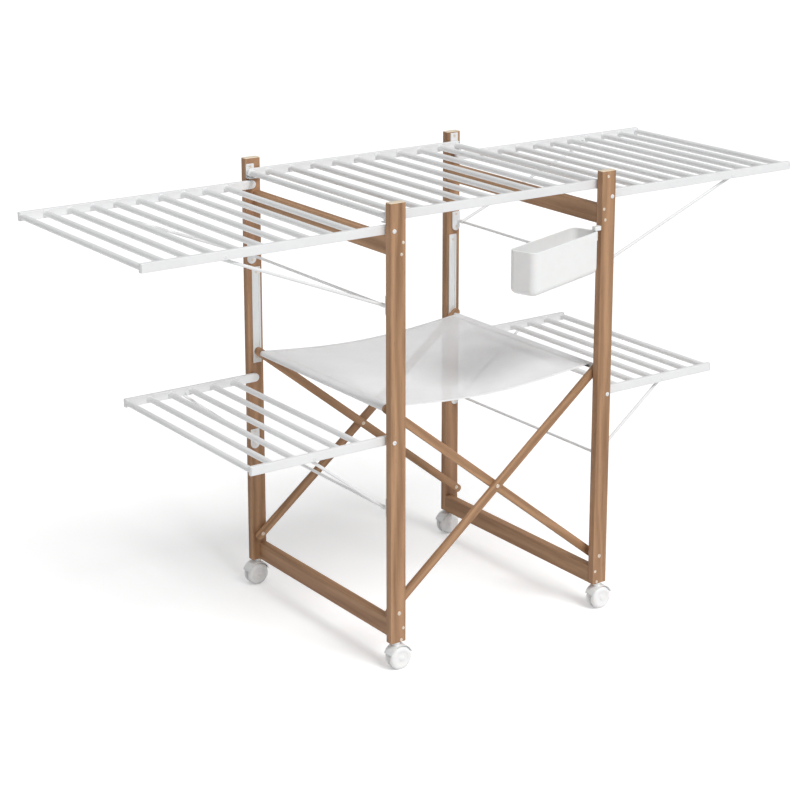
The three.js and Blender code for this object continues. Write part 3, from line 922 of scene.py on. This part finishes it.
# ------------------------------------------------------------------------------- caddy
class AIRER_OT_caddy(bpy.types.Operator):
    """The peg caddy, its swivel pin and the bracket that it hangs from"""

    bl_idname = "airer.caddy"
    bl_label = "Peg caddy"

    turn = math.radians(18.9)
    long, deep, tall = 244 * MM, 64 * MM, 90 * MM
    pin_in = 7 * MM  # from the tray's faces to the swivel pin

    def execute(self, context):
        low, high = box("caddy")
        pin = PIVOT["caddy_swing"]
        across = np.array([-math.cos(self.turn), -math.sin(self.turn), 0])
        back = np.array([-math.sin(self.turn), math.cos(self.turn), 0])
        centre = np.array([pin[0], pin[1], low[2]])
        centre = centre + across * (self.long / 2 - self.pin_in) + back * (self.deep / 2 - self.pin_in)
        outline = rounded_rect(self.long, self.deep, 15 * MM, 8)
        shape = carried(outline, self.wall(), centre, across, back, Z)
        boss = round_bar((*pin[:2], high[2] - 20 * MM), (*pin[:2], high[2] - 0.5 * MM), 5.2 * MM, 28)
        add_piece("caddy_tray", [shape], finish("plastic"), "caddy", ["caddy"])
        add_piece("caddy_boss", [boss], finish("plastic"), "caddy")
        self.bracket(pin)
        return {"FINISHED"}

    def wall(self):
        """Rings (height, inset) from under the foot, up the outside, over the rim and down inside."""
        foot, rim, floor, inside = 13 * MM, 1.3 * MM, 3 * MM, 11 * MM
        wall = 2 * rim
        quarter = np.linspace(0, np.pi / 2, 9)
        rings = [(0, foot + 1 * MM)]
        rings += list(zip(foot * (1 - np.cos(quarter)), foot * (1 - np.sin(quarter))))
        rings += [(foot + 1 * MM, 0), (self.tall - rim - 0.8 * MM, 0)]
        turn = np.linspace(0, np.pi, 9)
        rings += list(zip(self.tall - rim + rim * np.sin(turn), rim * (1 - np.cos(turn))))
        rings += [(self.tall - rim - 0.8 * MM, wall), (floor + inside + 1 * MM, wall)]
        rings += list(zip(floor + inside * (1 - np.sin(quarter)), wall + inside * (1 - np.cos(quarter))))
        rings += [(floor, wall + inside + 0.8 * MM)]
        return rings

    def bracket(self, pin):
        low, high = box("caddy_bracket")
        block_low = high[2] - 9.2 * MM
        outline = rounded_rect(high[0] - low[0], high[1] - low[1], 2.2 * MM)
        origin = np.array([(low[0] + high[0]) / 2, (low[1] + high[1]) / 2, block_low])
        arm = carried(outline, softened(high[2] - block_low, 1 * MM), origin, X, Y, Z)
        post = round_bar((*pin[:2], low[2]), (*pin[:2], block_low + 1 * MM), 2.5 * MM)
        cap = round_bar((*pin[:2], block_low), (*pin[:2], high[2]), 4.6 * MM, 28, 0.8 * MM)
        shapes = [arm, post, cap]
        add_piece("caddy_bracket_moulding", shapes, finish("plastic"), "right_frame",
                  ["caddy_bracket"])


# ------------------------------------------------------------------------------ castors
class AIRER_OT_castors(bpy.types.Operator):
    """Castor hoods on their stems, and the twin discs under them"""

    bl_idname = "airer.castors"
    bl_label = "Castors"

    def execute(self, context):
        for _, _, place in PLACES:
            self.housing(place)
            self.wheels(place)
        return {"FINISHED"}

    def wheels(self, place):
        """Each disc is turned from a profile: flat inside, a round shoulder, and a shallow dished face."""
        node = f"castor_wheels_{place}"
        low, high = box(node)
        axle = PIVOT[f"castor_{place}_roll"]
        radius, half = (high[2] - low[2]) / 2, (high[1] - low[1]) / 2
        shoulder, inner = 8 * MM, 3.9 * MM
        turn = np.linspace(0, np.pi / 2, 10)
        profile = [(inner, 4 * MM), (inner, radius - 2 * MM),
                   (inner + 0.4 * MM, radius - 0.6 * MM), (inner + 1.2 * MM, radius)]
        profile += list(zip(half - shoulder * 0.9 * (1 - np.sin(turn)), radius - shoulder * (1 - np.cos(turn))))
        face = radius - shoulder
        profile += [(half - 0.2 * MM, face - 1.2 * MM), (half - 0.9 * MM, face - 2.2 * MM),
                    (half - 1.1 * MM, 7 * MM), (half - 1.0 * MM, 6.4 * MM),
                    (half - 0.3 * MM, 5.8 * MM), (half - 0.1 * MM, 1 * MM)]
        shapes = [lathe(profile, axle, way * Y, 64) for way in (-1, 1)]
        shapes.append(round_bar(axle - 5 * MM * Y, axle + 5 * MM * Y, 2.9 * MM))
        add_piece(f"{node}_discs", shapes, finish("plastic"), f"wheels_{place}", [node])

    def housing(self, place):
        node = f"castor_{place}"
        low, high = box(node)
        axle, stem = PIVOT[f"{node}_roll"], PIVOT[f"{node}_swivel"]
        hood = (high[0] - low[0]) / 2 / math.cos(math.radians(20))
        shapes = [self.arch(axle, hood), self.rib(axle, hood)]
        foot = axle[2] + 25.6 * MM
        top = high[2] - foot
        turned = [(0, 6.2 * MM), (0.6 * MM, 7 * MM), (top - 4 * MM, 7 * MM), (top - 3.4 * MM, 8 * MM),
                  (top - 0.5 * MM, 8.2 * MM), (top, 7.6 * MM)]
        shapes.append(lathe(turned, (stem[0], stem[1], foot), Z, 40))
        add_piece(f"{node}_housing", shapes, finish("plastic"), node, [node])

    def arch(self, axle, hood):
        """A rounded strip 26 mm wide and 2 mm thick, carried round the axle from 20 to 160 degrees."""
        centre, normal, radius = rounded_rect(26 * MM, 2 * MM, 0.9 * MM, 4)
        angle = np.radians(np.concatenate([[20.0], np.linspace(21, 159, 47), [160.0]]))
        inset = np.where((angle < np.radians(20.5)) | (angle > np.radians(159.5)), 0.5 * MM, 0)
        flat = centre + (radius - inset[:, None])[..., None] * normal
        reach = hood - 1 * MM + flat[..., 1]
        x, z = reach * np.cos(angle)[:, None], reach * np.sin(angle)[:, None]
        points = axle + np.stack([x, flat[..., 0], z], -1)
        rows, columns = points.shape[:2]
        ends = [list(range(columns))[::-1], list(range((rows - 1) * columns, rows * columns))]
        return Shape(points.reshape(-1, 3), grid_faces(rows, columns) + ends).outwards()

    def rib(self, axle, hood):
        """A flat web. Its radius is the hood's over the top and eases to 14 mm below by a smooth step."""
        angle = np.linspace(0, 2 * np.pi, 96, endpoint=False)
        share = np.clip((np.sin(angle) - 0.05) / 0.35, 0, 1)
        reach = 14 * MM + (hood - 1.2 * MM - 14 * MM) * share**2 * (3 - 2 * share)
        curve = np.stack([reach * np.cos(angle), reach * np.sin(angle)], -1)
        tangent = np.roll(curve, -1, 0) - np.roll(curve, 1, 0)
        normal = np.stack([tangent[:, 1], -tangent[:, 0]], -1) / np.linalg.norm(tangent, axis=1)[:, None]
        soft = 0.8 * MM
        outline = curve - soft * normal, normal, np.full(len(angle), soft)
        return carried(outline, softened(6.8 * MM, soft * 0.9, 3, 0.05 * MM), axle - 3.4 * MM * Y, X, Z, Y)


# ------------------------------------------------------------------------------- stage
class AIRER_OT_stage(bpy.types.Operator):
    """Floor, soft light and the camera"""

    bl_idname = "airer.stage"
    bl_label = "Floor, light and camera"

    eye = (-2.4291, -3.3399, 1.7956)
    azimuth, elevation = math.radians(-35.061), math.radians(14.305)
    lens = 92.23
    shift = (-0.00245, -0.1654)
    fill = (0.06, 0.66)  # strength of the room's light at the horizon and overhead
    key, key_spread, key_from = 1.95, 0.45, (0.1, -0.85, 1.0)
    half_floor = 60.0

    def execute(self, context):
        self.floor()
        self.light(context)
        self.camera(context)
        return {"FINISHED"}

    def floor(self):
        pale = Finish("pale floor", Roughness=0.9, Specular_IOR_Level=0.1, Emission_Strength=0.27)
        # the floor glows a little to the camera only, so it's white where the light falls off
        speckle = pale.noise(pale.place(), 3.0, 4.0).between(0.3, 0.7)
        pale.surface(Emission_Color=pale.node("ShaderNodeLightPath").outputs["Is Camera Ray"],
                     Base_Color=pale.blend(speckle, (0.93, 0.93, 0.93), (0.95, 0.95, 0.95)))
        mesh = bpy.data.meshes.new("floor")
        far = self.half_floor
        mesh.from_pydata([(-far, -far, 0), (far, -far, 0), (far, far, 0), (-far, far, 0)], [], [(0, 1, 2, 3)])
        mesh.materials.append(pale.material)
        floor = bpy.data.objects.new("floor", mesh)
        bpy.context.scene.collection.objects.link(floor)

    def light(self, context):
        world = bpy.data.worlds.new("studio")
        world.use_nodes = True
        sky = Nodes(world.node_tree)
        # the fill grows from the horizon to overhead, and the backdrop is white to the camera
        height = sky.axes(sky.node("ShaderNodeTexCoord").outputs["Generated"])[2]
        horizon, overhead = self.fill
        fill = sky.node("ShaderNodeMapRange", {}, {"Value": height, "To Min": horizon, "To Max": overhead})
        seen = sky.node("ShaderNodeLightPath").outputs["Is Camera Ray"]
        shown = sky.node("ShaderNodeMapRange", {}, {"Value": seen, "To Min": fill.outputs[0]})
        background = sky.tree.nodes["Background"]
        sky.join(background.inputs["Strength"], shown.outputs[0])
        sky.join(background.inputs["Color"], (1, 1, 1, 1))
        context.scene.world = world
        sun = bpy.data.lights.new("key", "SUN")
        sun.energy, sun.angle = self.key, self.key_spread
        lamp = bpy.data.objects.new("key", sun)
        lamp.rotation_euler = Vector(self.key_from).to_track_quat("Z", "Y").to_euler()
        context.scene.collection.objects.link(lamp)
        context.scene.view_settings.view_transform = "Standard"

    def camera(self, context):
        data = bpy.data.cameras.new("camera")
        data.sensor_width, data.lens = 36.0, self.lens
        data.shift_x, data.shift_y = self.shift
        data.clip_start, data.clip_end = 0.05, 200
        camera = bpy.data.objects.new("camera", data)
        camera.location = self.eye
        camera.rotation_euler = (math.pi / 2 - self.elevation, 0, self.azimuth)
        context.scene.collection.objects.link(camera)
        context.scene.camera = camera


# ------------------------------------------------------------------------------- panel
OPERATORS = (
    AIRER_OT_post_frames,
    AIRER_OT_braces,
    AIRER_OT_racks,
    AIRER_OT_struts,
    AIRER_OT_fittings,
    AIRER_OT_sling,
    AIRER_OT_caddy,
    AIRER_OT_castors,
    AIRER_OT_stage,
)


class AIRER_PT_panel(bpy.types.Panel):
    """Lists the airer's sizes, colours and building steps"""

    bl_label = "Tower airer"
    bl_idname = "AIRER_PT_panel"
    bl_space_type = "VIEW_3D"
    bl_region_type = "UI"
    bl_category = "Airer"

    def draw(self, context):
        look = context.scene.airer_look
        for name in AirerLook.__annotations__:
            self.layout.prop(look, name)
        for operator in OPERATORS:
            self.layout.operator(operator.bl_idname)


CLASSES = (AirerLook, *OPERATORS, AIRER_PT_panel)


def register():
    for made in CLASSES:
        bpy.utils.register_class(made)
    bpy.types.Scene.airer_look = PointerProperty(type=AirerLook)


def unregister():
    del bpy.types.Scene.airer_look
    for made in reversed(CLASSES):
        bpy.utils.unregister_class(made)


def main():
    """Builds every piece in order."""
    register()
    for operator in OPERATORS:
        group, name = operator.bl_idname.split(".")
        getattr(getattr(bpy.ops, group), name)()


if __name__ == "__main__":
    main()
